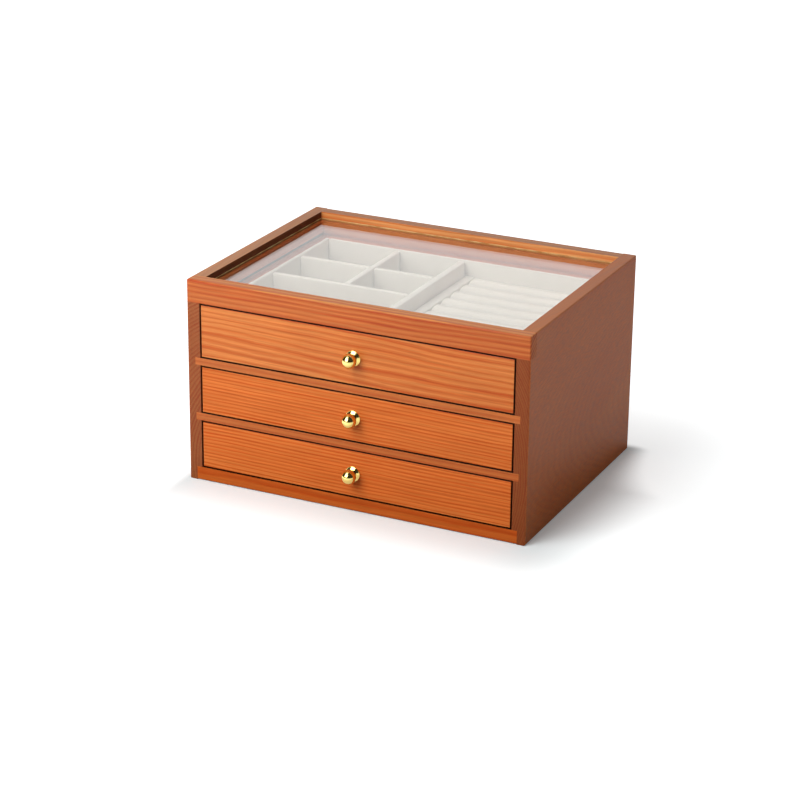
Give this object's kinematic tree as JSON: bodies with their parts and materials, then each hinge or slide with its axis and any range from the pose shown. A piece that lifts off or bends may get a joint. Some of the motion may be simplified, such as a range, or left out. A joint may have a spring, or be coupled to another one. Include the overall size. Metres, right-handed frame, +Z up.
{
  "type": "wooden jewelry box",
  "caption": "Stained wooden jewelry box with a fixed glass top, inset drawers with brass ball knobs, and a flannel tray with ring rolls in the upper drawer.",
  "frame": {"origin": "middle of the underside of the case", "axes": "+X along the front, to the right seen from the front; +Y from the front to the back; +Z up"},
  "size_m": [0.26, 0.2066, 0.15],
  "materials": {
    "stained_wood": "orange-brown stain under satin varnish",
    "plywood": "thin stained panel, matt",
    "brass": "polished",
    "screw_steel": "zinc plated",
    "glass": "clear",
    "flannel": "short cream nap"
  },
  "bodies": {
    "case": {"left_side_panel": "stained_wood", "right_side_panel": "stained_wood", "bottom_board": "stained_wood", "lower_shelf": "stained_wood", "upper_shelf": "stained_wood", "back_panel": "plywood", "front_top_rail": "stained_wood", "back_top_rail": "stained_wood", "left_glass_cleat": "stained_wood", "right_glass_cleat": "stained_wood", "front_glass_cleat": "stained_wood", "back_glass_cleat": "stained_wood", "glass_pane": "glass", "rail_dowels": "plywood"},
    "lower_drawer": {"lower_drawer_front": "stained_wood", "lower_drawer_left_side": "stained_wood", "lower_drawer_right_side": "stained_wood", "lower_drawer_back": "stained_wood", "lower_drawer_bottom": "plywood", "lower_knob": "brass", "lower_knob_screw": "screw_steel", "lower_drawer_lining_floor": "flannel", "lower_drawer_lining_walls": "flannel"},
    "middle_drawer": {"middle_drawer_front": "stained_wood", "middle_drawer_left_side": "stained_wood", "middle_drawer_right_side": "stained_wood", "middle_drawer_back": "stained_wood", "middle_drawer_bottom": "plywood", "middle_knob": "brass", "middle_knob_screw": "screw_steel", "middle_drawer_lining_floor": "flannel", "middle_drawer_lining_walls": "flannel"},
    "upper_drawer": {"upper_drawer_front": "stained_wood", "upper_drawer_left_side": "stained_wood", "upper_drawer_right_side": "stained_wood", "upper_drawer_back": "stained_wood", "upper_drawer_bottom": "plywood", "upper_knob": "brass", "upper_knob_screw": "screw_steel", "tray_floor": "flannel", "tray_left_wall": "flannel", "tray_right_wall": "flannel", "tray_front_wall": "flannel", "tray_back_wall": "flannel", "main_divider": "flannel", "front_row_divider": "flannel", "back_row_divider": "flannel", "column_divider": "flannel", "ring_strip": "flannel", "ring_rolls": "flannel"}
  },
  "joints": [
    {"name": "lower_drawer_slide", "type": "slide", "parent": "case", "child": "lower_drawer", "axis": [0, -1, 0], "range_m": [0, 0.13]},
    {"name": "middle_drawer_slide", "type": "slide", "parent": "case", "child": "middle_drawer", "axis": [0, -1, 0], "range_m": [0, 0.13]},
    {"name": "upper_drawer_slide", "type": "slide", "parent": "case", "child": "upper_drawer", "axis": [0, -1, 0], "range_m": [0, 0.13]}
  ]
}
